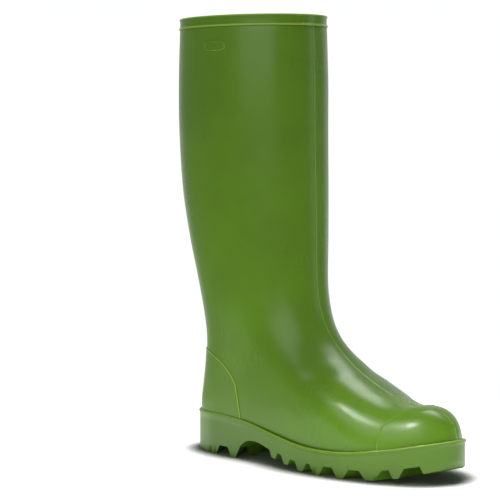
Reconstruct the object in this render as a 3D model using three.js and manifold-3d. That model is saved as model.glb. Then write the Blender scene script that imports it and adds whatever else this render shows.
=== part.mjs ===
// A knee-high rubber rain boot for the right foot, in millimetres.
// While it is modelled, x runs from the back of the heel (0) to the toe, y from the outer side
// of the foot to the inner side, and z up from the ground. The whole boot is then set on the
// centre of its own box.
import * as THREE from 'three';
import { mergeVertices } from 'three/addons/utils/BufferGeometryUtils.js';
import Module from 'manifold-3d';

const wasm = await Module();
wasm.setup();

// Driving dimensions
const soleLength = 312;
const ballWidth = 105.5;
const bootHeight = 407;
const ankleHeight = 164;
const wall = 2.6;
const liningThickness = 1.4;
const clearance = 0.3;
const cuffHeight = 10.4;
const cuffThickness = 1.3;
const ridgeProud = 1.2;
const ridgeHeight = 2.4;
const capThickness = 1.6;
const counterThickness = 1.2;
const puffThickness = 0.8;
const boardThickness = 1.8;
const insoleThickness = 4.0;
const insoleMargin = 5.2;
const insoleClearance = 1.0;
const treadDepth = 8.5;
const archHeight = 19;
const ribFoot = 5;
const ribRoot = 14;
const toeSpring = 14;
const shankLength = 96;
const shankWidth = 16;
const shankThickness = 1.5;
const coreThickness = 3.2;
const coreMargin = 13;

// The last is drawn at these sizes and stretched to the ones above
const lastLength = 312;
const lastWidth = 105.5;
const lastHeight = 407;
const lastAnkle = 164;
const along = (x) => x * soleLength / lastLength;
const across = (y) => y * ballWidth / lastWidth;
const legScale = (bootHeight - ankleHeight) / (lastHeight - lastAnkle);
const up = (z) => (z < lastAnkle ? z * ankleHeight / lastAnkle : ankleHeight + (z - lastAnkle) * legScale);

// Mesh fineness
const ringSteps = [[0, 5, 5], [5, 12, 8], [12, 20.6, 17]];
const aroundCount = 30;
const soleStations = 30;

const clamp01 = (t) => Math.min(1, Math.max(0, t));
const smooth = (t, a, b) => {
  const s = clamp01((t - a) / (b - a));
  return s * s * (3 - 2 * s);
};

// A smooth curve through rows [key, value, value, ...]; returns the values at a key
function through(rows) {
  const last = rows.length - 1;
  const width = rows[0].length - 1;
  const slope = (i, k) => {
    const a = rows[Math.max(i - 1, 0)];
    const b = rows[Math.min(i + 1, last)];
    return (b[k] - a[k]) / (b[0] - a[0]);
  };
  return (key) => {
    const t = Math.min(rows[last][0], Math.max(rows[0][0], key));
    let i = 0;
    while (i < last - 1 && t > rows[i + 1][0]) i += 1;
    const h = rows[i + 1][0] - rows[i][0];
    const s = (t - rows[i][0]) / h;
    const values = [];
    for (let k = 1; k <= width; k += 1) {
      const a = (2 * s ** 3 - 3 * s ** 2 + 1) * rows[i][k] + (s ** 3 - 2 * s ** 2 + s) * h * slope(i, k);
      const b = (3 * s ** 2 - 2 * s ** 3) * rows[i + 1][k] + (s ** 3 - s ** 2) * h * slope(i + 1, k);
      values.push(a + b);
    }
    return values;
  };
}
const heightCurve = (points) => {
  const curve = through(points.map(([x, z]) => [along(x), z]));
  return (x) => curve(x)[0];
};

// Outline of the outsole seen from above: heel, inner side, toe, outer side
const outlinePoints = [
  [0, 2], [3.5, 16], [14, 28.5], [38, 37], [62, 37.2], [90, 33], [122, 25.5], [150, 31], [180, 46],
  [208, 54], [240, 53], [270, 47], [294, 35.5], [307, 20], [312, 6], [309, -8], [299, -20],
  [279, -33], [245, -45], [205, -51.5], [170, -51.5], [130, -47.5], [95, -43.5], [62, -39.5],
  [38, -36], [14, -25], [3.5, -11.5],
];
const outlineCurve = new THREE.CatmullRomCurve3(
  outlinePoints.map(([x, y]) => new THREE.Vector3(along(x), across(y), 0)), true, 'centripetal',
).getPoints(400);

// The outline moved inwards by a distance: where it starts, where it ends and its two sides
function insetOutline(distance) {
  const points = outlineCurve.slice(0, -1);
  const moved = points.map((p, i) => {
    const a = points[(i + points.length - 1) % points.length];
    const b = points[(i + 1) % points.length];
    const normal = new THREE.Vector3(b.y - a.y, a.x - b.x, 0).normalize();
    return p.clone().addScaledVector(normal, distance(p.x));
  });
  const start = moved.reduce((m, p, i) => (p.x < moved[m].x ? i : m), 0);
  const ordered = moved.slice(start).concat(moved.slice(0, start + 1));
  const tip = ordered.reduce((m, p, i) => (p.x > ordered[m].x ? i : m), 0);
  const reader = (side) => (x) => {
    let i = 1;
    while (i < side.length - 1 && side[i].x < x) i += 1;
    const a = side[i - 1];
    const b = side[i];
    return a.y + (b.y - a.y) * clamp01((x - a.x) / Math.max(b.x - a.x, 1e-6));
  };
  return {
    heel: ordered[0].x,
    toe: ordered[tip].x,
    inner: reader(ordered.slice(0, tip + 1)),
    outer: reader(ordered.slice(tip).reverse()),
  };
}
const weltWidth = (x) => 2.4 + 2.4 * smooth(x, along(60), along(220));
const soleOutline = insetOutline(() => 0);
const upperOutline = insetOutline(weltWidth);

// Heights along the boot: ground line, root of the tread, top of the sole wall, underside of the upper
const toeRise = (x) => toeSpring * clamp01((x - along(237)) / along(75)) ** 1.7;
const breast = heightCurve([[0, 0], [84, 0], [98, 3], [112, 7], [132, 8.5], [157, 4], [176, 0.4], [190, 0],
  [312, 0]]);
const groundLine = (x) => toeRise(x) + Math.max(0, breast(x));
const archShare = heightCurve([[0, 0], [82, 0], [98, 0.82], [107, 1], [118, 0.95], [132, 0.62], [147, 0.38],
  [164, 0.1], [182, 0], [312, 0]]);
const treadRoot = (x) => toeRise(x) + treadDepth + (archHeight - treadDepth) * clamp01(archShare(x))
  - smooth(x, along(250), along(300));
const soleTop = heightCurve([[0, 37.5], [60, 38], [100, 35.5], [140, 29], [180, 23.5], [220, 23], [260, 28],
  [312, 38]]);
const underside = heightCurve([[0, 20], [60, 20.5], [90, 22], [115, 22.3], [140, 18.6], [165, 14], [200, 11.7],
  [240, 11.7], [262, 14], [280, 17.6], [300, 23], [312, 26.5]]);
const footCentre = heightCurve([[0, 2], [60, 0], [160, 2], [312, 6.5]]);

// Leg: back line, half depth and half width by height
const backLine = through([[20, 5], [40, 3], [62, 6], [84, 9.5], [108, 12], [134, 9.5], [164, 3],
  [200, -6.5], [245, -15.5], [300, -19.5], [350, -20], [407, -18]].map(([z, x]) => [up(z), along(x)]));
const legDepth = through([[0, 70], [110, 68], [150, 69.5], [190, 75], [240, 80], [300, 81.5], [350, 82],
  [407, 80]].map(([z, a]) => [up(z), along(a)]));
const legWidth = through([[0, 40], [60, 41], [110, 43.5], [150, 47], [190, 51], [240, 54.5], [300, 57],
  [350, 57.5], [407, 56.5]].map(([z, b]) => [up(z), across(b)]));

// Rings that sweep from the rim down the leg, round the heel and out to the toe:
// front point x, z; back point x, z; run of the front's roundness and its fullness
const toeX = upperOutline.toe;
const floorRing = (xf, zf, xb, run, full) => [
  along(xf), up(zf), along(xb), underside(along(xb)), run, full,
];
const rings = [
  [along(141.5), up(407), along(-18), up(407), along(80), 2],
  [along(143.5), up(350), along(-20), up(350), along(81), 2],
  [along(144), up(300), along(-19.5), up(300), along(81), 2],
  [along(145.5), up(245), along(-15.5), up(245), along(79.5), 2],
  [along(146.5), up(200), along(-6.5), up(200), along(76), 2],
  [along(147), up(168), along(3), up(164), along(71.5), 2],
  [along(150), up(146), along(9.5), up(134), along(67.5), 2],
  [along(157), up(128), along(12), up(108), along(62.5), 2],
  [along(167), up(113.5), along(10), up(84), along(58), 2.05],
  [along(179), up(102), along(6), up(62), along(54), 2.1],
  [along(190), up(93.8), along(3), up(44), along(51), 2.15],
  [along(200), up(87), along(7.5), up(27), along(49), 2.15],
  floorRing(210, 81.6, 22, along(46), 2.2),
  floorRing(221, 76.2, 62, along(44), 2.2),
  floorRing(232, 71.3, 120, along(42), 2.2),
  floorRing(244, 66.8, 185, along(40), 2.25),
  floorRing(257, 63.6, 235, along(39), 2.3),
  floorRing(271, 62.5, 266, along(38), 2.3),
  floorRing(286, 60.8, 285, along(35), 2.3),
  floorRing(297, 55.2, 297, along(30), 2.3),
  [toeX - along(2.2), up(47), toeX - along(2.2), underside(toeX) + 1.5, along(20), 2.3],
  [toeX, up(36), toeX, up(35.8), 1, 2.3],
];
const ringCurve = through(rings.map((row, i) => [i, ...row]));
const lastRing = rings.length - 1;
const floorRings = [12, 19];

// Half width of the upper at a place: the foot's below, the leg's above
function halfWidth(side, x, z) {
  const shift = (backLine(z)[0] - upperOutline.heel) * (1 - smooth(x, along(60), along(150)));
  const foot = Math.min(toeX, Math.max(upperOutline.heel, x - shift));
  const footHalf = Math.abs((side > 0 ? upperOutline.inner : upperOutline.outer)(foot) - footCentre(x));
  const depth = clamp01((x - backLine(z)[0]) / legDepth(z)[0]);
  const legHalf = legWidth(z)[0] * Math.sqrt(1 - (1 - depth) ** 2);
  return THREE.MathUtils.lerp(footHalf, legHalf, smooth(z, up(45), up(150)));
}

// Point of the upper's outer skin on a ring, theta 0 at the front and pi at the back
const bottomRound = 12;
const bottomFullness = 2.8;
function skinPoint(u, theta) {
  const [xf, zf, xb, zBack, run, full] = ringCurve(u);
  const zb = u >= floorRings[0] && u <= floorRings[1] ? underside(xb) : zBack;
  const part = (1 - Math.cos(theta)) / 2;
  const x = xf + (xb - xf) * part;
  const z = Math.max(zf + (zb - zf) * part, underside(x));
  const side = theta <= Math.PI ? 1 : -1;
  const down = clamp01(Math.hypot(xb - xf, zb - zf) * part / run);
  const front = (1 - (1 - down) ** full) ** (1 / full);
  const lift = clamp01((z - underside(x)) / bottomRound);
  const bottom = (1 - (1 - lift) ** bottomFullness) ** (1 / bottomFullness);
  const centre = footCentre(x) * (1 - smooth(z, up(60), up(140)));
  return new THREE.Vector3(x, centre + side * halfWidth(side, x, z) * front * bottom, z);
}

// Outward normals of the skin at every ring and step, from neighbouring points
const ringPlaces = ringSteps.flatMap(([from, to, count]) => Array.from({ length: count },
  (_, i) => from + (to - from) * i / count)).concat(lastRing - 0.4);
const ringCount = ringPlaces.length - 1;
const skin = ringPlaces.map((u) => Array.from({ length: aroundCount },
  (_, j) => skinPoint(u, 2 * Math.PI * j / aroundCount)));
const toePole = skinPoint(lastRing, 0);
toePole.y = footCentre(toeX);
const normals = skin.map((row, i) => row.map((_, j) => {
  const below = skin[Math.min(i + 1, ringCount)][j];
  const above = skin[Math.max(i - 1, 0)][j];
  const next = row[(j + 1) % aroundCount];
  const before = row[(j + aroundCount - 1) % aroundCount];
  const normal = next.clone().sub(before).cross(above.clone().sub(below)).normalize();
  if (i === 0) normal.setZ(0).normalize();
  return normal;
}));

function solidFrom(geometry) {
  geometry.deleteAttribute('normal');
  geometry.deleteAttribute('uv');
  const merged = mergeVertices(geometry, 1e-4);
  return new wasm.Manifold(new wasm.Mesh({
    numProp: 3,
    vertProperties: new Float32Array(merged.attributes.position.array),
    triVerts: new Uint32Array(merged.index.array),
  }));
}
function geometryFrom(vertices, triangles) {
  const geometry = new THREE.BufferGeometry();
  const places = vertices.flatMap((p) => [p.x, p.y, p.z]);
  geometry.setAttribute('position', new THREE.Float32BufferAttribute(places, 3));
  geometry.setIndex(triangles.flat());
  return geometry;
}

// The whole upper, filled, at a distance from its skin: negative distances lie inside it.
// A distance is a number or a function of the normal, and the top can be set higher or lower.
function upperCore(distance, top = bootHeight) {
  const away = (n) => (typeof distance === 'function' ? distance(n) : distance);
  const vertices = skin.flatMap((row, i) => row.map((p, j) => {
    const moved = p.clone().addScaledVector(normals[i][j], away(normals[i][j]));
    return i === 0 ? moved.setZ(top) : moved;
  }));
  const forward = new THREE.Vector3(1, 0, 0);
  const pole = vertices.push(toePole.clone().addScaledVector(forward, away(forward))) - 1;
  const middle = vertices.push(new THREE.Vector3(along(64), 0, top)) - 1;
  const at = (i, j) => i * aroundCount + (j % aroundCount);
  const triangles = [];
  for (let j = 0; j < aroundCount; j += 1) {
    for (let i = 0; i < ringCount; i += 1) {
      triangles.push([at(i, j), at(i + 1, j), at(i + 1, j + 1)]);
      triangles.push([at(i, j), at(i + 1, j + 1), at(i, j + 1)]);
    }
    triangles.push([at(ringCount, j), pole, at(ringCount, j + 1)], [middle, at(0, j), at(0, j + 1)]);
  }
  return solidFrom(geometryFrom(vertices, triangles));
}
const aboveTop = bootHeight + 5;
const skinLayer = (outward, inward) => upperCore(outward).subtract(upperCore(inward, aboveTop));

// A plate between two heights, cut to an outline, from one x to another
function plate(outline, bottom, top, from = outline.heel, to = outline.toe, stations = soleStations) {
  const sections = [];
  for (let i = 0; i <= stations; i += 1) {
    const x = from + (to - from) * (1 - Math.cos(Math.PI * (i + 0.02) / (stations + 0.04))) / 2;
    const [a, b] = [outline.inner(x), outline.outer(x)];
    const section = [[x, a, bottom(x)], [x, a, top(x)], [x, b, top(x)], [x, b, bottom(x)]];
    sections.push(section.map((p) => new THREE.Vector3(...p)));
  }
  const triangles = [[0, 2, 1], [0, 3, 2]];
  const end = stations * 4;
  triangles.push([end, end + 1, end + 2], [end, end + 2, end + 3]);
  for (let i = 0; i < stations; i += 1) {
    for (let k = 0; k < 4; k += 1) {
      const [a, b] = [i * 4 + k, i * 4 + (k + 1) % 4];
      triangles.push([a, b + 4, a + 4], [a, b, b + 4]);
    }
  }
  return solidFrom(geometryFrom(sections.flat(), triangles));
}

// An outline drawn from the side, in x and z, pushed through the whole width of the boot
function sideBlock(shape) {
  const pushed = { depth: 4 * ballWidth, bevelEnabled: false, curveSegments: 10 };
  const geometry = new THREE.ExtrudeGeometry(shape, pushed);
  geometry.rotateX(Math.PI / 2);
  geometry.translate(0, 2 * ballWidth, 0);
  return solidFrom(geometry);
}

// One rib of the tread: a wedge from root to foot between two places on the sole
function rib([x1, y1], [x2, y2], foot = ribFoot, root = ribRoot) {
  const start = new THREE.Vector2(along(x1), across(y1));
  const run = new THREE.Vector2(along(x2), across(y2)).sub(start);
  const span = archHeight + toeSpring;
  const taper = (root - foot) / 2 / treadDepth;
  const wide = foot / 2 + taper * span;
  const section = new THREE.Shape([[-foot / 2, 0], [foot / 2, 0], [wide, span], [-wide, span]]
    .map((p) => new THREE.Vector2(...p)));
  const geometry = new THREE.ExtrudeGeometry(section, { depth: run.length(), bevelEnabled: false });
  geometry.rotateX(Math.PI / 2);
  geometry.rotateZ(run.angle() + Math.PI / 2);
  geometry.translate(start.x, start.y, 0);
  return solidFrom(geometry);
}

const ribs = [
  // outer side of the tread
  [[284, 3.6], [248, -49]], [[266.8, 23.4], [218, -58]], [[240, 20.8], [192, -60]],
  [[215.6, 19], [172, -61]], [[189.7, 16.5], [153, -60]], [[164.8, 12.2], [136, -58]],
  [[268, -10], [278, -42]],
  // inner side of the tread
  [[283, 6.2], [224, 66]], [[257.3, 3.6], [194, 66]], [[231, 4.5], [172, 62]], [[204.4, 1.9], [156, 51]],
  [[178.5, -2.4], [136, 40]], [[267.2, 23.4], [276, 60]], [[247.9, 40.6], [252, 64]],
  // heel
  [[88, 40], [50.5, 3.1]], [[50.5, 3.1], [34, -8]], [[84.2, 14.3], [58.7, -11.2]], [[64, 46], [28, 6.2]],
  [[82, -46], [52, 3.1]], [[54, -46], [30, -5]], [[46, -44], [25, 12.3]], [[83.2, -20.3], [68.9, 3.1]],
];
function outsole() {
  let tread = wasm.Manifold.union(ribs.map(([a, b]) => rib(a, b)));
  const toePanel = new THREE.Shape([[284, 3.6], [294, 46], [330, 46], [330, -34], [303, -34]]
    .map(([x, y]) => new THREE.Vector2(along(x), across(y))));
  const heelPanel = new THREE.Shape([[18.9, 34], [41.3, -40], [-20, -40], [-20, 46], [15, 46]]
    .map(([x, y]) => new THREE.Vector2(along(x), across(y))));
  [toePanel, heelPanel].forEach((shape) => {
    const block = new THREE.ExtrudeGeometry(shape, { depth: toeSpring + archHeight, bevelEnabled: false });
    tread = tread.add(solidFrom(block));
  });
  tread = tread.intersect(plate(soleOutline, groundLine, (x) => treadRoot(x) + 0.8));
  const body = plate(soleOutline, treadRoot, soleTop).add(tread);
  return body.subtract(upperCore(clearance)).subtract(heelCore(clearance)).subtract(shank(clearance));
}

// Filler let into the heel of the outsole, under the upper
function heelCore(grow = 0) {
  const low = (x) => underside(x) - coreThickness - grow;
  const high = (x) => underside(x) - clearance + grow * 4;
  const outline = insetOutline(() => coreMargin - grow);
  const blank = plate(outline, low, high, outline.heel, along(74) + grow, 20);
  return grow ? blank : blank.subtract(upperCore(clearance));
}

// Steel shank let into the outsole under the waist
function shank(grow = 0) {
  const middle = along(126);
  const half = shankWidth / 2 + grow;
  const outline = { inner: () => half + footCentre(middle), outer: () => -half + footCentre(middle) };
  const low = (x) => underside(x) - clearance - shankThickness - grow;
  const high = (x) => underside(x) - clearance + grow * 4;
  const reach = shankLength / 2 + grow;
  const blank = plate(outline, low, high, middle - reach, middle + reach, 12);
  return grow ? blank : blank.subtract(upperCore(clearance));
}

// Side views of the toe cap and of the heel counter
const capEdge = () => {
  const shape = new THREE.Shape();
  shape.moveTo(along(262), 0);
  shape.lineTo(along(265), up(32));
  shape.quadraticCurveTo(along(268), up(50), along(279), up(80));
  shape.lineTo(along(340), up(80));
  shape.lineTo(along(340), 0);
  return sideBlock(shape);
};
const counterEdge = () => {
  const shape = new THREE.Shape();
  shape.moveTo(along(-40), up(97));
  shape.lineTo(along(12), up(97));
  shape.bezierCurveTo(along(60), up(96), along(90), up(78), along(88), up(38));
  shape.lineTo(along(88), 0);
  shape.lineTo(along(-40), 0);
  return sideBlock(shape);
};
const soleBlank = () => plate(insetOutline(() => -4), () => -5, (x) => soleTop(x) + clearance);

const innerFace = -(wall + clearance);
// Soft step from 0 to 1 where the skin turns to face the ground
const floorShare = (n) => smooth(-n.z, 0.35, 0.8);
const liningFace = (n) => innerFace - clearance - puffThickness - floorShare(n) * boardThickness;
const liningTop = cuffThickness + clearance;

function toeCap() {
  return skinLayer(clearance + capThickness, clearance).intersect(capEdge()).subtract(soleBlank());
}
function heelCounter() {
  return skinLayer(clearance + counterThickness, clearance).intersect(counterEdge()).subtract(soleBlank());
}
// Thin stiffeners between the rubber and the lining, above the insole board
const stiffenerFoot = boardThickness + 8;
function stiffener(edge) {
  const floor = plate(insetOutline(() => -4), () => -5, (x) => underside(x) + wall + stiffenerFoot);
  return skinLayer(innerFace, (n) => liningFace(n) + clearance).intersect(edge).subtract(floor);
}
function lining() {
  const inside = upperCore((n) => liningFace(n) - liningThickness, aboveTop);
  return upperCore(liningFace, bootHeight - liningTop).subtract(inside);
}

function insoleBoard() {
  const inset = insetOutline((x) => weltWidth(x) + wall + bottomRound);
  const low = (x) => underside(x) + wall + clearance;
  return plate(inset, low, (x) => low(x) + boardThickness).intersect(upperCore(innerFace));
}
const insoleInset = wall + liningThickness + puffThickness + insoleMargin;
const insoleOutline = insetOutline((x) => weltWidth(x) + insoleInset);
const insoleFloor = (x) => underside(x) + wall + boardThickness + puffThickness + liningThickness
  + 2 * clearance + insoleClearance;
function insole() {
  const blank = plate(insoleOutline, (x) => insoleFloor(x) - 1, (x) => insoleFloor(x) + insoleThickness);
  return blank.intersect(upperCore((n) => liningFace(n) - liningThickness - insoleClearance));
}

// Leg and vamp: one moulded wall, thinned at the top where the cuff band sits
const cuffLow = bootHeight - cuffHeight;
function cuffSolid(outer, inner, low, high) {
  const vertices = [];
  const rows = [[outer, low], [outer, high], [inner, high], [inner, low]];
  rows.forEach(([d, z]) => skin[0].forEach((p, j) => {
    const q = p.clone().addScaledVector(normals[0][j], d);
    vertices.push(q.setZ(z));
  }));
  const triangles = [];
  for (let r = 0; r < 4; r += 1) {
    for (let j = 0; j < aroundCount; j += 1) {
      const k = (j + 1) % aroundCount;
      const [a, b] = [r * aroundCount, ((r + 1) % 4) * aroundCount];
      triangles.push([a + j, a + k, b + k], [a + j, b + k, b + j]);
    }
  }
  return solidFrom(geometryFrom(vertices, triangles));
}
function legAndVamp() {
  const shell = upperCore(0, bootHeight - liningTop).subtract(upperCore(-wall, aboveTop));
  return shell.subtract(cuffSolid(20, -cuffThickness - clearance, cuffLow - clearance, bootHeight + 5));
}
function cuffBand() {
  const reach = wall + puffThickness + liningThickness + 2 * clearance;
  const band = cuffSolid(0.2, -cuffThickness, cuffLow, bootHeight);
  const top = cuffSolid(0.2, -reach, bootHeight - cuffThickness, bootHeight);
  const ridge = cuffSolid(ridgeProud, -cuffThickness, cuffLow, cuffLow + ridgeHeight);
  return band.add(top).add(ridge);
}

const rubber = { color: 0x5c8327, roughness: 0.32, metalness: 0 };
const cloth = { color: 0xb9b3a2, roughness: 0.95, metalness: 0 };
const pieces = [
  ['outsole', outsole(), { ...rubber, color: 0x5a8030, roughness: 0.42 }],
  ['leg_and_vamp', legAndVamp(), rubber],
  ['cuff_band', cuffBand(), rubber],
  ['toe_cap', toeCap(), rubber],
  ['heel_counter', heelCounter(), rubber],
  ['lining', lining(), cloth],
  ['toe_stiffener', stiffener(capEdge()), { color: 0xc9c0a8, roughness: 0.9, metalness: 0 }],
  ['heel_stiffener', stiffener(counterEdge()), { color: 0xc9c0a8, roughness: 0.9, metalness: 0 }],
  ['insole_board', insoleBoard(), { color: 0xa78358, roughness: 0.9, metalness: 0 }],
  ['insole', insole(), { color: 0x6f7468, roughness: 0.9, metalness: 0 }],
  ['heel_core', heelCore(), { color: 0x3a3d36, roughness: 0.85, metalness: 0 }],
  ['shank', shank(), { color: 0xb4b6b8, roughness: 0.35, metalness: 0.9 }],
];

const boot = new THREE.Group();
pieces.forEach(([name, solid, finish]) => {
  const { vertProperties, triVerts } = solid.getMesh();
  const geometry = new THREE.BufferGeometry();
  geometry.setAttribute('position', new THREE.BufferAttribute(new Float32Array(vertProperties), 3));
  geometry.setIndex(new THREE.BufferAttribute(new Uint32Array(triVerts), 1));
  geometry.computeVertexNormals();
  const mesh = new THREE.Mesh(geometry, new THREE.MeshStandardMaterial(finish));
  mesh.name = name;
  boot.add(mesh);
});

// The origin is the middle of the boot's box, on the ground
const box = new THREE.Box3().setFromObject(boot);
const centre = box.getCenter(new THREE.Vector3());
boot.position.set(-centre.x, -centre.y, -box.min.z);

export default boot;
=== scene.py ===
import bpy
import bmesh
import math
import numpy as np
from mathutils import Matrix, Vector
from mathutils.bvhtree import BVHTree
from mathutils.kdtree import KDTree


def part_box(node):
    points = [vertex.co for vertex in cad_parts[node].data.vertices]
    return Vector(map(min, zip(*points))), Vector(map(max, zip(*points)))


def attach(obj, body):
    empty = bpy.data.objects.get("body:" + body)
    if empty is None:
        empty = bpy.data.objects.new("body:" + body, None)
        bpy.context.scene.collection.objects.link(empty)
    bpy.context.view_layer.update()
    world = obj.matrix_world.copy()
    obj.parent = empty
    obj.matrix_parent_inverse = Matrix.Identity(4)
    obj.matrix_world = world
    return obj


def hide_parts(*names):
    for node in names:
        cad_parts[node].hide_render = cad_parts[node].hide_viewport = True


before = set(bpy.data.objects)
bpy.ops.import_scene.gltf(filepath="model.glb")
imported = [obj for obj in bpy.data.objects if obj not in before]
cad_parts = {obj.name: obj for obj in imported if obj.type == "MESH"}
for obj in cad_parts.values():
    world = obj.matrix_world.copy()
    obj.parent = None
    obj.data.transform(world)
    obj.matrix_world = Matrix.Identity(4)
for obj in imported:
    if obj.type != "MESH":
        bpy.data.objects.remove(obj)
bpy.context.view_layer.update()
mm = 0.001

# the last the boot is made on, in mm, x from the heel's back, the same sizes as the solids
last = {
    "soleLength": 312.0,
    "bootHeight": 407.0,
    "wall": 2.6,
    "cuffHeight": 10.4,
    "toeSpring": 14.0,
    "treadDepth": 8.5,
    "archHeight": 19.0,
    "bottomRound": 12.0,
    "bottomFullness": 2.8,
}
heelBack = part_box("outsole")[0].x / mm   # where x = 0 on the last lies in the frame


def smooth(t, a, b):
    s = np.clip((np.asarray(t, float) - a) / (b - a), 0, 1)
    return s * s * (3 - 2 * s)


def through(rows, key):
    rows = np.array(rows, float)
    k, v = rows[:, 0], rows[:, 1:]
    slope = np.empty_like(v)
    slope[1:-1] = (v[2:] - v[:-2]) / (k[2:] - k[:-2])[:, None]
    slope[0] = (v[1] - v[0]) / (k[1] - k[0])
    slope[-1] = (v[-1] - v[-2]) / (k[-1] - k[-2])
    t = np.clip(np.atleast_1d(np.asarray(key, float)), k[0], k[-1])
    i = np.clip(np.searchsorted(k, t, side="right") - 1, 0, len(k) - 2)
    h = (k[i + 1] - k[i])[:, None]
    s = ((t - k[i]) / (k[i + 1] - k[i]))[:, None]
    return ((2 * s**3 - 3 * s**2 + 1) * v[i] + (s**3 - 2 * s**2 + s) * h * slope[i]
            + (3 * s**2 - 2 * s**3) * v[i + 1] + (s**3 - s**2) * h * slope[i + 1])


def line(rows):
    return lambda x: through(rows, x)[:, 0].reshape(np.shape(x))


# outline of the outsole from above: heel, inner side, toe, outer side
outlinePoints = [
    (0, 2), (3.5, 16), (14, 28.5), (38, 37), (62, 37.2), (90, 33), (122, 25.5), (150, 31), (180, 46),
    (208, 54), (240, 53), (270, 47), (294, 35.5), (307, 20), (312, 6), (309, -8), (299, -20),
    (279, -33), (245, -45), (205, -51.5), (170, -51.5), (130, -47.5), (95, -43.5), (62, -39.5),
    (38, -36), (14, -25), (3.5, -11.5),
]


def closedCurve(points, per=40):
    p = np.array(points, float)
    made = []
    for i in range(len(p)):
        a, b, c, d = p[i - 1], p[i], p[(i + 1) % len(p)], p[(i + 2) % len(p)]
        ab, bc, cd = (np.linalg.norm(v) ** 0.5 for v in (b - a, c - b, d - c))
        m1 = ((b - a) / ab - (c - a) / (ab + bc) + (c - b) / bc) * bc
        m2 = ((c - b) / bc - (d - b) / (bc + cd) + (d - c) / cd) * bc
        t = np.linspace(0, 1, per, endpoint=False)[:, None]
        made.append((2 * t**3 - 3 * t**2 + 1) * b + (t**3 - 2 * t**2 + t) * m1
                    + (3 * t**2 - 2 * t**3) * c + (t**3 - t**2) * m2)
    return np.concatenate(made)


soleCurve = closedCurve(outlinePoints)


def insetCurve(distance):
    run = np.roll(soleCurve, -1, 0) - np.roll(soleCurve, 1, 0)
    run /= np.linalg.norm(run, axis=1)[:, None]
    normal = np.stack([run[:, 1], -run[:, 0]], 1)
    return soleCurve + normal * np.broadcast_to(distance, len(soleCurve))[:, None]


def weltWidth(x):
    return 2.4 + 2.4 * smooth(x, 60, 220)


def sides(curve):
    curve = np.roll(curve, -int(curve[:, 0].argmin()), 0)
    tip = int(curve[:, 0].argmax())
    inner, outer = curve[:tip + 1], np.vstack([curve[tip:], curve[:1]])[::-1]
    return inner, outer


upperInner, upperOuter = sides(insetCurve(weltWidth(soleCurve[:, 0])))
upperHeel, upperToe = upperInner[0, 0], upperInner[-1, 0]


def toeRise(x):
    return last["toeSpring"] * np.clip((np.asarray(x, float) - 237) / 75, 0, 1) ** 1.7


breast = line([(0, 0), (84, 0), (98, 3), (112, 7), (132, 8.5), (157, 4), (176, 0.4), (190, 0), (312, 0)])
archShare = line([(0, 0), (82, 0), (98, 0.82), (107, 1), (118, 0.95), (132, 0.62), (147, 0.38), (164, 0.1),
                  (182, 0), (312, 0)])


def groundLine(x):
    return toeRise(x) + np.maximum(0, breast(x))


def treadRoot(x):
    arch = (last["archHeight"] - last["treadDepth"]) * np.clip(archShare(x), 0, 1)
    return toeRise(x) + last["treadDepth"] + arch - smooth(x, 250, 300)


soleTop = line([(0, 37.5), (60, 38), (100, 35.5), (140, 29), (180, 23.5), (220, 23), (260, 28), (312, 38)])
underside = line([(0, 20), (60, 20.5), (90, 22), (115, 22.3), (140, 18.6), (165, 14), (200, 11.7),
                  (240, 11.7), (262, 14), (280, 17.6), (300, 23), (312, 26.5)])
footCentre = line([(0, 2), (60, 0), (160, 2), (312, 6.5)])
backLine = line([(20, 5), (40, 3), (62, 6), (84, 9.5), (108, 12), (134, 9.5), (164, 3), (200, -6.5),
                 (245, -15.5), (300, -19.5), (350, -20), (407, -18)])
legDepth = line([(0, 70), (110, 68), (150, 69.5), (190, 75), (240, 80), (300, 81.5), (350, 82), (407, 80)])
legWidth = line([(0, 40), (60, 41), (110, 43.5), (150, 47), (190, 51), (240, 54.5), (300, 57), (350, 57.5),
                 (407, 56.5)])


def floorRing(xf, zf, xb, run, full):
    return (xf, zf, xb, float(underside(xb)), run, full)


# middle of the foot low down, middle of the leg above it
def centreLine(x, z):
    return footCentre(x) * (1 - smooth(z, 60, 140))


# how far the side has come out at a height, where it rounds in to the underside
def sideShare(x, z):
    lift = np.clip((z - underside(x)) / last["bottomRound"], 0, 1)
    return (1 - (1 - lift) ** last["bottomFullness"]) ** (1 / last["bottomFullness"])


# rings from the rim down the leg, round the heel and out to the toe:
# front x, z; back x, z; run of the front's roundness and its fullness
rings = [
    (141.5, 407, -18, 407, 80, 2), (143.5, 350, -20, 350, 81, 2), (144, 300, -19.5, 300, 81, 2),
    (145.5, 245, -15.5, 245, 79.5, 2), (146.5, 200, -6.5, 200, 76, 2), (147, 168, 3, 164, 71.5, 2),
    (150, 146, 9.5, 134, 67.5, 2), (157, 128, 12, 108, 62.5, 2), (167, 113.5, 10, 84, 58, 2.05),
    (179, 102, 6, 62, 54, 2.1), (190, 93.8, 3, 44, 51, 2.15), (200, 87, 7.5, 27, 49, 2.15),
    floorRing(210, 81.6, 22, 46, 2.2), floorRing(221, 76.2, 62, 44, 2.2),
    floorRing(232, 71.3, 120, 42, 2.2), floorRing(244, 66.8, 185, 40, 2.25),
    floorRing(257, 63.6, 235, 39, 2.3), floorRing(271, 62.5, 266, 38, 2.3),
    floorRing(286, 60.8, 285, 35, 2.3), floorRing(297, 55.2, 297, 30, 2.3),
    (upperToe - 2.2, 47, upperToe - 2.2, float(underside(upperToe)) + 1.5, 20, 2.3),
    (upperToe, 36, upperToe, 35.8, 1, 2.3),
]
ringRows = [(i, *row) for i, row in enumerate(rings)]
lastRing = len(rings) - 1
floorRings = (12, 19)   # their backs lie on the underside


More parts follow.
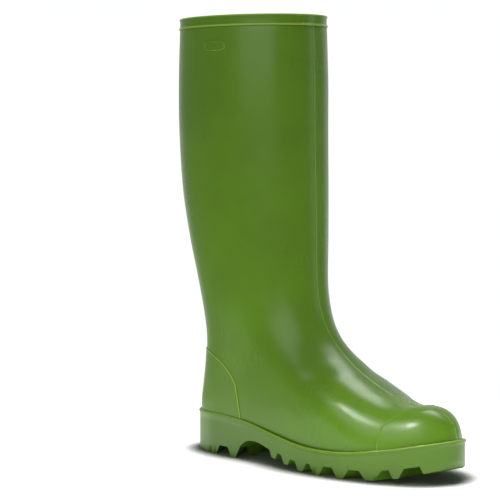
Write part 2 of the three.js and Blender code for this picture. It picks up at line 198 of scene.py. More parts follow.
def halfWidth(side, x, z):
    shift = (backLine(z) - upperHeel) * (1 - smooth(x, 60, 150))
    foot = np.clip(x - shift, upperHeel, upperToe)
    inner = np.interp(foot, upperInner[:, 0], upperInner[:, 1])
    outer = np.interp(foot, upperOuter[:, 0], upperOuter[:, 1])
    footHalf = np.abs(np.where(side > 0, inner, outer) - footCentre(x))
    depth = np.clip((x - backLine(z)) / legDepth(z), 0, 1)
    legHalf = legWidth(z) * np.sqrt(1 - (1 - depth) ** 2)
    share = smooth(z, 45, 150)
    return footHalf * (1 - share) + legHalf * share


def skinPoints(u, theta):
    xf, zf, xb, zb, run, full = through(ringRows, u).T
    zb = np.where((u >= floorRings[0]) & (u <= floorRings[1]), underside(xb), zb)
    part = (1 - np.cos(theta)) / 2
    x = xf + (xb - xf) * part
    z = np.maximum(zf + (zb - zf) * part, underside(x))
    side = np.where(theta <= math.pi, 1, -1)
    down = np.clip(np.hypot(xb - xf, zb - zf) * part / run, 0, 1)
    front = (1 - (1 - down) ** full) ** (1 / full)
    out = side * halfWidth(side, x, z) * front * sideShare(x, z)
    return np.stack([x, centreLine(x, z) + out, z], -1)


def unit(v):
    return v / np.maximum(np.linalg.norm(v, axis=-1, keepdims=True), 1e-12)


def inFrame(points):
    points = np.asarray(points, float)
    return (points + (heelBack, 0, 0)) * mm


def gridNormals(grid, wrap=True):
    along = np.gradient(grid, axis=0)
    across = (np.roll(grid, -1, 1) - np.roll(grid, 1, 1)) if wrap else np.gradient(grid, axis=1)
    return unit(np.cross(across, -along))


def addObject(name, vertices, faces, smoothAngle=None):
    mesh = bpy.data.meshes.new(name)
    mesh.from_pydata([tuple(v) for v in inFrame(vertices)], [], faces)
    made = bpy.data.objects.new(name, mesh)
    bpy.context.scene.collection.objects.link(made)
    cleanMesh(made)
    shade(made, smoothAngle)
    return made


# how much painted highlight each vertex gets on crests, read by the rubber as a paler edge
def markCrest(thing, share):
    values = thing.data.attributes.new("crestHighlight", "FLOAT", "POINT")
    places = np.array([v.co for v in thing.data.vertices]) / mm - (heelBack, 0, 0)
    values.data.foreach_set("value", np.clip(share(places), 0, 1).astype(np.float32))


def markCrestNear(thing, grid, share):
    points, share = grid.reshape(-1, 3), share.ravel()
    tree = KDTree(len(points))
    for i, point in enumerate(points):
        tree.insert(point, i)
    tree.balance()
    markCrest(thing, lambda places: np.array([share[tree.find(place)[1]] for place in places]))


def cleanMesh(thing, near=2e-6):
    work = bmesh.new()
    work.from_mesh(thing.data)
    bmesh.ops.remove_doubles(work, verts=work.verts, dist=near)
    bmesh.ops.dissolve_degenerate(work, edges=work.edges, dist=near)
    bmesh.ops.recalc_face_normals(work, faces=work.faces)
    work.to_mesh(thing.data)
    work.free()


def shade(thing, angle=None):
    thing.data.shade_smooth()
    if angle is not None:
        thing.data.set_sharp_from_angle(angle=math.radians(angle))


def gridFaces(rows, columns, wrap, first=0, flip=False):
    made = []
    for i in range(rows - 1):
        for j in range(columns if wrap else columns - 1):
            k = (j + 1) % columns
            quad = (first + i * columns + j, first + (i + 1) * columns + j,
                    first + (i + 1) * columns + k, first + i * columns + k)
            made.append(quad[::-1] if flip else quad)
    return made


# a closed body between two grids of the same rows and columns
def addShell(name, outer, inner, wrap=True, smoothAngle=None):
    rows, columns = outer.shape[:2]
    count = rows * columns
    faces = gridFaces(rows, columns, wrap) + gridFaces(rows, columns, wrap, count, True)
    for i in (0, rows - 1):
        for j in range(columns if wrap else columns - 1):
            a, b = i * columns + j, i * columns + (j + 1) % columns
            faces.append((a, b, count + b, count + a))
    if not wrap:
        for j in (0, columns - 1):
            for i in range(rows - 1):
                a, b = i * columns + j, (i + 1) * columns + j
                faces.append((a, count + a, count + b, b))
    return addObject(name, np.vstack([outer.reshape(-1, 3), inner.reshape(-1, 3)]), faces, smoothAngle)


# distance of each point of a grid from the first one of its column
def alongColumns(grid):
    step = np.linalg.norm(np.diff(grid, axis=0), axis=2)
    return np.vstack([np.zeros((1, grid.shape[1])), np.cumsum(step, axis=0)])


def skinGrid(rowsPerRing, columns, fineAt=()):
    us = np.linspace(0, lastRing, lastRing * rowsPerRing + 1)
    thetas = set(np.round(np.linspace(0, 2 * math.pi, columns, endpoint=False), 6))
    for centre in fineAt:
        for step in (0.005, 0.010, 0.016, 0.024, 0.034):
            thetas |= {round((centre + step) % (2 * math.pi), 6), round((centre - step) % (2 * math.pi), 6)}
    thetas = np.array(sorted(thetas))
    u, theta = np.meshgrid(us, thetas, indexing="ij")
    grid = skinPoints(u.ravel(), theta.ravel()).reshape(*u.shape, 3)
    grid[-1] = grid[-1].mean(0)
    normals = gridNormals(grid)
    normals[-1] = (1, 0, 0)
    normals[0, :, 2] = 0
    normals[0] = unit(normals[0])
    return grid, normals, u, theta


# the upper: one skin from the rim to the toe
upper = {
    "rowsPerRing": 10,
    "columns": 132,
    "seamProud": 0.45,
    "seamWidth": 0.55,
    "seamHighlight": 0.55,
    "backSeamFrom": 97.0,
    "cuffStep": 1.3,
    "neckDrop": 1.7,
    "tuck": 0.2,
}
skin, skinNormals, _, thetaAt = skinGrid(upper["rowsPerRing"], upper["columns"], (0, math.pi))
print("skin grid", skin.shape)


def seamRise(points, theta):
    off = points[..., 1] - centreLine(points[..., 0], points[..., 2])
    bead = upper["seamProud"] * np.exp(-(off / upper["seamWidth"]) ** 2)
    front = np.cos(theta) > 0.2
    back = (np.cos(theta) < -0.2) & (points[..., 2] > upper["backSeamFrom"])
    return bead * np.where(front, 1.0, np.where(back, 0.8, 0.0))


# the leg's edge stops under the cuff band, and a thinner neck goes on up inside it
def makeUpper():
    top = last["bootHeight"] - upper["neckDrop"]
    tuck = upper["tuck"]
    edgeZ = last["bootHeight"] - last["cuffHeight"] - tuck
    rise = seamRise(skin, thetaAt)
    outer = skin + skinNormals * rise[..., None]
    inner = skin - skinNormals * last["wall"]
    neckOuter = skin[:1] - skinNormals[:1] * (upper["cuffStep"] + tuck)
    neckInner = inner[:1].copy()
    neckInner[..., 2] = edgeZ
    low, high, innerHigh = neckOuter.copy(), neckOuter.copy(), neckInner.copy()
    low[..., 2] = edgeZ
    high[..., 2] = innerHigh[..., 2] = top
    edge = outer[:1].copy()
    edge[..., 2] = edgeZ
    first = int(np.argmax((skin[..., 2] < edgeZ - 4 * tuck).all(axis=1)))
    outerAll = np.vstack([high, low, edge, outer[first:]])
    innerAll = np.vstack([innerHigh, neckInner, neckInner, inner[first:]])
    return addShell("legAndVamp", outerAll, innerAll, True, 50)


# painted highlight along the seam bead of the upper
def seamCrest(places):
    x, y, z = places.T
    return upper["seamHighlight"] * np.exp(-((y - centreLine(x, z)) / upper["seamWidth"]) ** 2) * (x > 120)


legAndVamp = makeUpper()
markCrest(legAndVamp, seamCrest)


# the cuff band: rim bead, flat band, ridge, flange over the edge of the leg
cuff = {
    "ridgeProud": 1.2,
    "ridgeHeight": 2.4,
    "rimProud": 0.7,
    "rimHeight": 1.7,
    "rimRound": 0.45,
    "flange": 6.3,
    "sideSteps": 240,
}


def arc(cx, cz, r, start, stop, count, squashZ=1.0):
    t = np.radians(np.linspace(start, stop, count))
    return [(cx + r * math.cos(a), cz + r * squashZ * math.sin(a)) for a in t]


def sweepSkin(name, profile, angle=40):
    thetas = np.linspace(0, 2 * math.pi, cuff["sideSteps"], endpoint=False)
    ring = skinPoints(np.zeros_like(thetas), thetas)
    run = np.roll(ring, -1, 0) - np.roll(ring, 1, 0)
    normal = unit(np.stack([run[:, 1], -run[:, 0], np.zeros(len(run))], 1))
    if (normal[0] @ (1, 0, 0)) < 0:
        normal = -normal
    rows = []
    for out, z in profile:
        row = ring + normal * out
        row[:, 2] = z
        rows.append(row)
    grid = np.array(rows)
    faces = gridFaces(len(rows), len(ring), True)
    count = len(ring)
    faces += [((len(rows) - 1) * count + j, j, (j + 1) % count, (len(rows) - 1) * count + (j + 1) % count)
              for j in range(count)]
    return addObject(name, grid.reshape(-1, 3), faces, angle)


def makeCuff():
    top = last["bootHeight"]
    low = top - last["cuffHeight"]
    ridge, rim = cuff["ridgeProud"], cuff["rimProud"]
    half = cuff["ridgeHeight"] / 2
    base, band = 0.15, 0.08
    ridgeTop, rimLow = low + 2 * half, top - cuff["rimHeight"]
    edge, under = -cuff["flange"], top - 1.3
    profile = [(-upper["cuffStep"], low), (0.1, low)]
    bulge = arc(base, low + half, 1.0, -75, 75, 9, half)
    profile += [(base + (x - base) * (ridge - base), z) for x, z in bulge]
    profile += [(0.12, ridgeTop + 0.35), (band, ridgeTop + 1.2), (band, rimLow - 0.7), (0.2, rimLow - 0.25)]
    profile += [(rim - 0.15, rimLow - 0.05), (rim, rimLow + 0.2)]
    profile += arc(rim - cuff["rimRound"], top - cuff["rimRound"], cuff["rimRound"], 0, 90, 6)
    profile += [(-1.4, top), (edge + 1.2, top), (edge + 0.5, top - 0.12), (edge + 0.1, top - 0.45)]
    profile += [(edge, top - 0.9), (edge, under), (-upper["cuffStep"], under)]
    return sweepSkin("cuffBand", profile)


# painted highlight on the cuff's ridge and rim top
def cuffCrest(places):
    z, top = places[:, 2], last["bootHeight"]
    ridgeMiddle = top - last["cuffHeight"] + cuff["ridgeHeight"] / 2
    return np.exp(-((z - ridgeMiddle) / 0.9) ** 2) + smooth(z, top - 1.2, top - 0.3)


cuffBand = makeCuff()
markCrest(cuffBand, cuffCrest)


# the toe cap: what lies beyond its edge and above the sole
cap = {
    "thick": 2.1,
    "lip": 1.7,
    "topX": 279.0,
    "sideX": 256.0,
    "slopeFrom": 38.0,
    "slopeTall": 28.0,
    "clear": 0.25,
    "rows": 90,
    "columns": 150,
}


def capEdgeX(z):
    share = np.clip((z - cap["slopeFrom"]) / cap["slopeTall"], 0, 1) ** 2.2
    return cap["sideX"] + (cap["topX"] - cap["sideX"]) * share


def findRoot(f, low, high, steps=42):
    low, high = np.array(low, float), np.array(high, float)
    for _ in range(steps):
        mid = (low + high) / 2
        over = f(mid) > 0
        high = np.where(over, mid, high)
        low = np.where(over, low, mid)
    return (low + high) / 2


# how far a point of the skin lies below the top of the sole
def belowSole(u, theta):
    spot = skinPoints(u, theta)
    return soleTop(spot[:, 0]) + cap["clear"] - spot[:, 2]


def soleTheta(u):
    return findRoot(lambda t: belowSole(u, t), np.full_like(u, 1e-4), np.full_like(u, math.pi - 1e-3))


def makeToeCap():
    rows, columns = cap["rows"], cap["columns"]
    start = 17.0
    # the last ring whose front is still above the sole
    tip = findRoot(lambda u: belowSole(u, np.full_like(u, 1e-4)), [start], [lastRing - 0.01])[0]
    share = np.linspace(-1, 1, columns)
    share = np.sign(share) * (1 - (1 - np.abs(share)) ** 1.15)
    # the ring under the cap's edge, found by steps
    edge = np.full(columns, start)
    for _ in range(30):
        spot = skinPoints(edge, np.mod(share * soleTheta(edge), 2 * math.pi))
        edge = edge + (capEdgeX(spot[:, 2]) - spot[:, 0]) * 0.04
    grid = np.zeros((rows, columns, 3))
    for i, way in enumerate(np.linspace(0, 1, rows) ** 1.25):
        u = edge + (tip - edge) * way
        grid[i] = skinPoints(u, np.mod(share * soleTheta(u), 2 * math.pi))
    grid[-1] = grid[-1].mean(0)
    normals = gridNormals(grid, wrap=False)
    if normals[5, columns // 2, 2] < 0:
        normals = -normals
    normals[-1] = (1, 0, 0)
    away = alongColumns(grid)
    rise = 0.12 + (cap["thick"] - 0.12) * np.sqrt(1 - (1 - np.clip(away / cap["lip"], 0, 1)) ** 2)
    off = grid[..., 1] - footCentre(grid[..., 0])
    seam = np.exp(-(off / upper["seamWidth"]) ** 2)
    rise = rise + upper["seamProud"] * seam * smooth(away, 0.6, 2.0)
    outer = grid + normals * rise[..., None]
    made = addShell("toeCap", outer, grid + normals * 0.06, False, 50)
    # painted highlight on the cap's lip and along its seam
    markCrestNear(made, outer, 0.6 * np.exp(-((away - 0.6) / 0.6) ** 2) + 0.5 * seam)
    return made


toeCap = makeToeCap()


# the heel counter: a patch round the heel inside a raised bead
counter = {
    "thick": 0.55,
    "bead": 0.8,
    "beadWide": 1.7,
    "front": 89.0,
    "top": 97.0,
    "rows": 70,
    "columns": 170,
}


def heelSkin(x, z, side):
    out = side * halfWidth(side, x, z) * sideShare(x, z)
    return np.stack([x, centreLine(x, z) + out, z], -1)


def backAt(z):
    return np.where(z > 44, backLine(z), through([(20, 9), (27, 6), (36, 3.6), (44, 3)], z)[:, 0])


def makeCounter():
    rows, columns = counter["rows"], counter["columns"]
    rho = 1 - np.linspace(0, 1, rows) ** 1.9 * 0.985
    turn = np.linspace(-1, 1, columns)
    quarter = np.abs(turn)
    side = np.where(turn < 0, -1.0, 1.0)
    wide = (1 - np.sqrt(1 - quarter ** 2)) * 0.55 + quarter ** 2 * 0.45
    grid = np.zeros((rows, columns, 3))
    for i, r in enumerate(rho):
        z = np.full(columns, 60.0)
        high = (1 - wide ** 2.3) ** (1 / 2.3)
        for _ in range(6):
            back = backAt(z)
            x = back + r * (counter["front"] - back) * wide
            low = soleTop(x) + 0.25
            z = low + r * (counter["top"] - low) * high
        grid[i] = heelSkin(np.maximum(x, backAt(z)), z, side)
    normals = gridNormals(grid, wrap=False)
    if normals[rows // 4, columns // 2, 0] > 0:
        normals = -normals
    away = alongColumns(grid)
    width = counter["beadWide"]
    bead = counter["bead"] * np.sin(np.clip(away / width, 0, 1) * math.pi) ** 0.8
    rise = 0.1 + bead + (counter["thick"] - 0.1) * smooth(away, width * 0.45, width * 1.6)
    outer = grid + normals * rise[..., None]
    made = addShell("heelCounter", outer, grid + normals * 0.05, False, 60)
    # painted highlight on the counter's bead
    markCrestNear(made, outer, bead / counter["bead"])
    return made


heelCounter = makeCounter()


# a plain raised lozenge on the outer side, under the cuff
badge = {
    "x": 71.0,
    "z": 379.0,
    "halfLong": 13.0,
    "halfTall": 4.3,
    "proud": 0.7,
    "edge": 0.8,
}


def makeBadge():
    rows, columns = 40, 96
    rho = 1 - np.linspace(0, 1, rows) ** 2 * 0.98
    turn = np.linspace(0, 2 * math.pi, columns, endpoint=False)
    power = 2 / 3.2
    across = np.sign(np.cos(turn)) * np.abs(np.cos(turn)) ** power * badge["halfLong"]
    high = np.sign(np.sin(turn)) * np.abs(np.sin(turn)) ** power * badge["halfTall"]
    x = badge["x"] + np.outer(rho, across)
    z = badge["z"] + np.outer(rho, high)
    leg = legAndVamp.data
    tree = BVHTree.FromPolygons([spot.co for spot in leg.vertices], [face.vertices for face in leg.polygons])
    starts = inFrame(np.stack([x, np.full_like(x, -150.0), z], -1).reshape(-1, 3))
    y = np.array([tree.ray_cast(Vector(start), Vector((0, 1, 0)))[0].y / mm for start in starts])
    grid = np.stack([x, y.reshape(x.shape), z], -1)
    normals = gridNormals(grid)
    if normals[5, 5, 1] > 0:
        normals = -normals
    away = np.linalg.norm(grid - grid[:1], axis=-1)
    rise = 0.05 + badge["proud"] * np.sqrt(1 - (1 - np.clip(away / badge["edge"], 0, 1)) ** 2)
    rim = np.exp(-((away - 1.7) / 0.5) ** 2) * 0.25
    outer = grid + normals * (rise - rim)[..., None]
    made = addShell("sideBadge", outer, grid + normals * 0.02, True, 50)
    # painted highlight round the badge's edge
    markCrestNear(made, outer, 0.5 * np.exp(-((away - 0.5) / 0.5) ** 2))
    return made


sideBadge = makeBadge()
print("upper pieces made")


# one socket of a node, with the sums that shader and geometry trees need
class Flow:
    def __init__(self, board, socket):
        self.board = board
        self.socket = socket

    def maths(self, operation, *values):
        return self.board.add("ShaderNodeMath", {"operation": operation}, dict(enumerate(values)))

    def __add__(self, other):
        return self.maths("ADD", self, other)

    __radd__ = __add__

    def __sub__(self, other):
        return self.maths("SUBTRACT", self, other)

    def __rsub__(self, other):
        return self.maths("SUBTRACT", other, self)

    def __mul__(self, other):
        return self.maths("MULTIPLY", self, other)

    __rmul__ = __mul__

    def ramp(self, low, high, toLow=0.0, toHigh=1.0):
        return self.board.add("ShaderNodeMapRange", {"interpolation_type": "SMOOTHSTEP"},
                              {0: self, 1: low, 2: high, 3: toLow, 4: toHigh})


# a node tree: add() takes a node's type, its settings and the values or links of its sockets
class Board:
    def __init__(self, tree):
        self.tree = tree

    def add(self, kind, settings=None, values=None, out=0):
        node = self.tree.nodes.new(kind)
        for key, value in (settings or {}).items():
            setattr(node, key, value)
        for key, value in (values or {}).items():
            self.feed(node.inputs[key], value)
        return Flow(self, node.outputs[out])

    def feed(self, socket, value):
        if isinstance(value, Flow):
            self.tree.links.new(value.socket, socket)
        else:
            socket.default_value = value


# a geometry tree with named inputs; the last node's geometry is realised and given a material
class GeometryBoard(Board):
    def __init__(self, name, **inputs):
        super().__init__(bpy.data.node_groups.new(name, "GeometryNodeTree"))
        face = self.tree.interface
        face.new_socket("Geometry", in_out="INPUT", socket_type="NodeSocketGeometry")
        face.new_socket("Geometry", in_out="OUTPUT", socket_type="NodeSocketGeometry")
        kinds = {float: "NodeSocketFloat", int: "NodeSocketInt", tuple: "NodeSocketVector"}
        for key, value in inputs.items():
            face.new_socket(key, in_out="INPUT", socket_type=kinds[type(value)]).default_value = value
        self.entry = self.tree.nodes.new("NodeGroupInput")

    def named(self, key):
        return Flow(self, self.entry.outputs[key])

    def end(self, geometry, material):
        made = self.add("GeometryNodeRealizeInstances", {}, {0: geometry})
        made = self.add("GeometryNodeSetMaterial", {}, {0: made, "Material": material})
        self.feed(self.tree.nodes.new("NodeGroupOutput").inputs[0], made)
        return self.tree


def settle(thing):
    bpy.context.view_layer.update()
    graph = bpy.context.evaluated_depsgraph_get()
    mesh = bpy.data.meshes.new_from_object(thing.evaluated_get(graph))
    thing.modifiers.clear()
    thing.data = mesh
    return thing


def grow(thing, tree, **values):
    step = thing.modifiers.new(tree.name, "NODES")
    step.node_group = tree
    for item in tree.interface.items_tree:
        if item.item_type == "SOCKET" and item.in_out == "INPUT" and item.name in values:
            step[item.identifier] = values[item.name]
    return settle(thing)


def combine(thing, operation, other):
    step = thing.modifiers.new("combine", "BOOLEAN")
    step.operation, step.solver, step.object = operation, "MANIFOLD", other
    settle(thing)
    bpy.data.objects.remove(other)
    return thing


def addEdges(name, points, pairs):
    mesh = bpy.data.meshes.new(name)
    mesh.from_pydata([tuple(v) for v in inFrame(points)], pairs, [])
    made = bpy.data.objects.new(name, mesh)
    bpy.context.scene.collection.objects.link(made)
    return made


# a material starts as a principled shader with fixed values on its own sockets
class Finish(Board):
    def __init__(self, name, **fixed):
        self.material = bpy.data.materials.new(name)
        self.material.use_nodes = True
        super().__init__(self.material.node_tree)
        self.shader = self.tree.nodes["Principled BSDF"]
        for key, value in fixed.items():
            self.shader.inputs[key].default_value = value
        self.place = self.add("ShaderNodeTexCoord", {}, {}, "Object")

    def set(self, key, value):
        self.feed(self.shader.inputs[key], value)

    def noise(self, size, detail=2.0, rough=0.5, stretch=(1, 1, 1), shift=0.0):
        scaled = self.add("ShaderNodeMapping", {}, {"Vector": self.place, "Scale": stretch,
                                                    "Location": (shift, shift * 0.7, -shift)})
        return self.add("ShaderNodeTexNoise", {}, {"Vector": scaled, "Scale": 1 / size, "Detail": detail,
                                                   "Roughness": rough})

    def mix(self, share, low, high):
        return self.add("ShaderNodeMix", {"data_type": "RGBA"}, {0: share, 6: low, 7: high}, 2)

    def bump(self, height, distance, strength=1.0, below=None):
        values = {"Height": height, "Distance": distance, "Strength": strength}
        if below is not None:
            values["Normal"] = below
        return self.add("ShaderNodeBump", {}, values)


def srgb(red, green, blue):
    share = [c / 255 for c in (red, green, blue)]
    return (*[c / 12.92 if c <= 0.04045 else ((c + 0.055) / 1.055) ** 2.4 for c in share], 1)


rubber = {
    "green": (96, 140, 14),
    "deep": (90, 132, 14),
    "soleGreen": (92, 132, 24),
    "soleDeep": (86, 125, 23),
    # pale green of the painted highlight along crests
    "edge": (168, 208, 66),
    "roughness": 0.31,
    "soleRoughness": 0.41,
    "grain": 0.00035,
    "grainDepth": 0.000012,
    "wobble": 0.03,
    "wobbleDepth": 0.00022,
    "scuff": 0.012,
}


def makeRubber(name, green, deep, roughness, coarseness):
    look = Finish(name, **{"IOR": 1.5, "Coat Weight": 0.06, "Coat Roughness": 0.14})
    cloud = look.noise(0.07, 3, 0.55)
    colour = look.mix(cloud.ramp(0.35, 0.68), srgb(*deep), srgb(*green))
    # crests painted paler as a highlight, mixed into the base colour
    crestHighlight = look.add("ShaderNodeAttribute", {"attribute_name": "crestHighlight"}, {}, "Fac")
    colour = look.mix(crestHighlight * 0.75, colour, srgb(*rubber["edge"]))
    speck = look.noise(0.0021, 2, 0.6, shift=3.0).ramp(0.72, 0.8, 0.0, 0.08)
    look.set("Base Color", look.mix(speck, colour, srgb(*[c * 0.85 for c in green])))
    scuff = look.noise(rubber["scuff"], 4, 0.62, (1, 1, 0.35)).ramp(0.4, 0.8, -0.02, 0.03)
    smear = look.noise(0.09, 2, 0.5, shift=7.0).ramp(0.3, 0.7, -0.03, 0.04)
    look.set("Roughness", roughness + (scuff + smear))
    wobble = look.noise(rubber["wobble"], 1, 0.4, shift=1.0)
    grain = look.noise(rubber["grain"], 2, 0.7)
    normal = look.bump(wobble, rubber["wobbleDepth"], 1.0)
    look.set("Normal", look.bump(grain, rubber["grainDepth"] * coarseness, 1.0, normal))
    return look.material


upperRubber = makeRubber("upperRubber", rubber["green"], rubber["deep"], rubber["roughness"], 1)
soleRubber = makeRubber("soleRubber", rubber["soleGreen"], rubber["soleDeep"], rubber["soleRoughness"], 2)
print("rubber mixed")


# the sole: wall under a welt bead, ledge, tread and the cut for the upper
sole = {
    "stations": 150,
    "wallInset": 0.8,
    "beadHigh": 3.0,
    "beadRound": 1.5,
    "ledgeDrop": 0.5,
    "innerInset": 8.0,
    "ribFoot": 5.0,
    "ribRoot": 14.0,
    "knurl": 0.6,
    "knurlPitch": 2.7,
    "serration": 1.5,
    "serrationFrom": 120.0,
    "cutClear": 0.12,
    "cutBelow": 160.0,
    "roomClear": 0.5,
    "sink": 0.8,
}

# ribs of the tread by their ends: outer side, inner side, heel
ribs = [
    ((284, 3.6), (248, -49)), ((266.8, 23.4), (218, -58)), ((240, 20.8), (192, -60)),
    ((215.6, 19), (172, -61)), ((189.7, 16.5), (153, -60)), ((164.8, 12.2), (136, -58)),
    ((268, -10), (278, -42)),
    ((283, 6.2), (224, 66)), ((257.3, 3.6), (194, 66)), ((231, 4.5), (172, 62)), ((204.4, 1.9), (156, 51)),
    ((178.5, -2.4), (136, 40)), ((267.2, 23.4), (276, 60)), ((247.9, 40.6), (252, 64)),
    ((88, 40), (50.5, 3.1)), ((50.5, 3.1), (34, -8)), ((84.2, 14.3), (58.7, -11.2)), ((64, 46), (28, 6.2)),
    ((82, -46), (52, 3.1)), ((54, -46), (30, -5)), ((46, -44), (25, 12.3)), ((83.2, -20.3), (68.9, 3.1)),
]
toePanel = [(284, 3.6), (294, 46), (330, 46), (330, -34), (303, -34)]
heelPanel = [(18.9, 34), (15, 46), (-20, 46), (-20, -40), (41.3, -40)]


# the outline moved in, as a ring of points: up the inner side to the toe and back
def outlineRing(inset, stations=None):
    stations = stations or sole["stations"]
    distance = inset(soleCurve[:, 0]) if callable(inset) else inset
    inner, outer = sides(insetCurve(distance))
    share = (1 - np.cos(math.pi * np.arange(stations + 1) / stations)) / 2
    x = inner[0, 0] + (inner[-1, 0] - inner[0, 0]) * share
    up = np.stack([x, np.interp(x, inner[:, 0], inner[:, 1])], 1)
    back = np.stack([x, np.interp(x, outer[:, 0], outer[:, 1])], 1)[1:-1][::-1]
    return np.vstack([up, back])


# a body of rings, capped at its two ends by strips across the sole
def addRings(name, rows, angle=30):
    count = len(rows[0])
    half = count // 2
    faces = gridFaces(len(rows), count, True)
    for base, flip in ((0, True), ((len(rows) - 1) * count, False)):
        for i in range(half):
            a, b = base + i, base + i + 1
            c, d = base + (count - i - 1) % count, base + (count - i) % count
            face = [a, b, c, d]
            face = [v for k, v in enumerate(face) if v not in face[:k]]
            faces.append(tuple(face[::-1] if flip else face))
    return addObject(name, np.vstack(rows), faces, angle)


def placedRing(inset, height):
    ring = outlineRing(inset)
    return np.column_stack([ring, height(ring[:, 0])])


def solePlate(name, inset, low, high):
    return addRings(name, [placedRing(inset, low), placedRing(inset, high)])


# a panel of the tread: foot on the ground, sides sloping out to the root like the ribs
def addPanel(name, points, span):
    count = len(points)
    foot = np.array(points, float)
    run = unit(np.roll(foot, -1, 0) - foot)
    if np.cross(run, np.roll(run, -1, 0)).sum() < 0:
        foot = foot[::-1]
        run = unit(np.roll(foot, -1, 0) - foot)
    outward = np.stack([run[:, 1], -run[:, 0]], 1)
    before = np.roll(outward, 1, 0)
    corner = unit(outward + before) / np.sqrt((1 + (outward * before).sum(1, keepdims=True)) / 2)
    slope = (sole["ribRoot"] - sole["ribFoot"]) / 2 / last["treadDepth"]
    ground = groundLine(foot[:, 0].clip(0, last["soleLength"]))
    low = np.column_stack([foot, ground - 1]) - np.column_stack([corner * slope, foot[:, 0] * 0])
    high = np.column_stack([foot + corner * slope * span, ground + span])
    vertices = np.vstack([low, high])
    faces = [(0, i, i + 1) for i in range(1, count - 1)]
    faces += [(count, count + i + 1, count + i) for i in range(1, count - 1)]
    for i in range(count):
        k = (i + 1) % count
        faces += [(i, count + k, k), (i, count + i, count + k)]
    return addObject(name, vertices, faces)


def ribTree():
    board = GeometryBoard("treadRibs", foot=0.005, root=0.04, span=0.033)
    curves = board.add("GeometryNodeMeshToCurve", {}, {0: board.named("Geometry")})
    curves = board.add("GeometryNodeSetCurveNormal", {"mode": "Z_UP"}, {0: curves})
    section = board.add("GeometryNodeCurvePrimitiveQuadrilateral", {"mode": "TRAPEZOID"}, {
        "Bottom Width": board.named("root"), "Top Width": board.named("foot"), "Offset": 0.0,
        "Height": board.named("span")})
    solid = board.add("GeometryNodeCurveToMesh", {}, {0: curves, 1: section, "Fill Caps": True})
    whole = board.add("GeometryNodeMeshBoolean", {"operation": "UNION", "solver": "EXACT"},
                      {"Mesh 2": solid, "Self Intersection": True})
    return board.end(whole, soleRubber)


# the space of the tread, from the ground or above it to just inside the sole
def treadBlank(rise):
    return solePlate("treadBlank", sole["wallInset"], lambda x: groundLine(x) + rise,
                     lambda x: treadRoot(x) + sole["sink"])


def makeTread():
    span = last["archHeight"] + last["toeSpring"]
    wide = sole["ribFoot"] + (sole["ribRoot"] - sole["ribFoot"]) / last["treadDepth"] * span
    points = [(*end, span / 2 + float(groundLine(end[0]))) for rib in ribs for end in rib]
    tread = addEdges("outsoleTread", points, [(2 * i, 2 * i + 1) for i in range(len(ribs))])
    grow(tread, ribTree(), foot=sole["ribFoot"] * mm, root=wide * mm, span=span * mm)
    cleanMesh(tread)
    combine(tread, "INTERSECT", treadBlank(0))
    cleanMesh(tread)
    for points in (toePanel, heelPanel):
        panel = combine(addPanel("panel", points, span), "INTERSECT", treadBlank(sole["knurl"]))
        cleanMesh(panel)
        combine(tread, "UNION", panel)
        cleanMesh(tread)
    return tread


def growNode(node, clear):
    work = bmesh.new()
    work.from_mesh(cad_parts[node].data)
    bmesh.ops.remove_doubles(work, verts=work.verts, dist=1e-6)
    bmesh.ops.recalc_face_normals(work, faces=work.faces)
    moves = [v.normal * clear * mm for v in work.verts]
    for v, move in zip(work.verts, moves):
        v.co += move
    mesh = bpy.data.meshes.new(node + "Room")
    work.to_mesh(mesh)
    work.free()
    made = bpy.data.objects.new(node + "Room", mesh)
    bpy.context.scene.collection.objects.link(made)
    return made


# painted highlight on the welt bead
def beadCrest(places):
    above = places[:, 2] - soleTop(places[:, 0])
    return smooth(above, -sole["beadRound"], -0.2 * sole["beadRound"]) * (above < 0.2)


def makeOutsole():
    proud, tall, radius = sole["wallInset"], sole["beadHigh"], sole["beadRound"]
    rows = []
    for share in (0, 0.4, 0.8):
        rows.append(placedRing(proud, lambda x: treadRoot(x) + (soleTop(x) - tall - treadRoot(x)) * share))
    rows.append(placedRing(proud * 0.85, lambda x: soleTop(x) - tall - 0.15))
    rows.append(placedRing(proud * 0.2, lambda x: soleTop(x) - tall + 0.25))
    for a in np.radians(np.linspace(0, 105, 10)):
        inset, drop = radius * (1 - math.cos(a)), radius * (1 - math.sin(a))
        rows.append(placedRing(inset, lambda x: soleTop(x) - drop))
    rows.append(placedRing(radius + 0.75, lambda x: soleTop(x) - sole["ledgeDrop"]))
    rows.append(placedRing(sole["innerInset"], lambda x: soleTop(x) - sole["ledgeDrop"]))
    body = addRings("outsoleRubber", rows)
    combine(body, "UNION", makeTread())
    core = skin + skinNormals * sole["cutClear"]
    core = core[int(np.argmax(core[:, :, 2].min(axis=1) < sole["cutBelow"])):]
    count = core.shape[1]
    faces = gridFaces(len(core), count, True) + [tuple(range(count))]
    combine(body, "DIFFERENCE", addObject("upperCore", core.reshape(-1, 3), faces))
    for node in ("heel_core", "shank"):
        combine(body, "DIFFERENCE", growNode(node, sole["roomClear"]))
    shade(body, 30)
    markCrest(body, beadCrest)
    return body


outsole = makeOutsole()
print("outsole", len(outsole.data.polygons), "faces")


def studTree():
    board = GeometryBoard("knurling", wide=0.0018, tip=0.0004, tall=0.0006)
    stud = board.add("GeometryNodeMeshCone", {"fill_type": "NGON"}, {
        "Vertices": 4, "Radius Top": board.named("tip"), "Radius Bottom": board.named("wide"),
        "Depth": board.named("tall")})
    stud = board.add("GeometryNodeTransform", {}, {0: stud, "Rotation": (math.pi, 0, 0)})
    spots = board.add("GeometryNodeMeshToPoints", {}, {0: board.named("Geometry")})
    return board.end(board.add("GeometryNodeInstanceOnPoints", {}, {0: spots, "Instance": stud}), soleRubber)


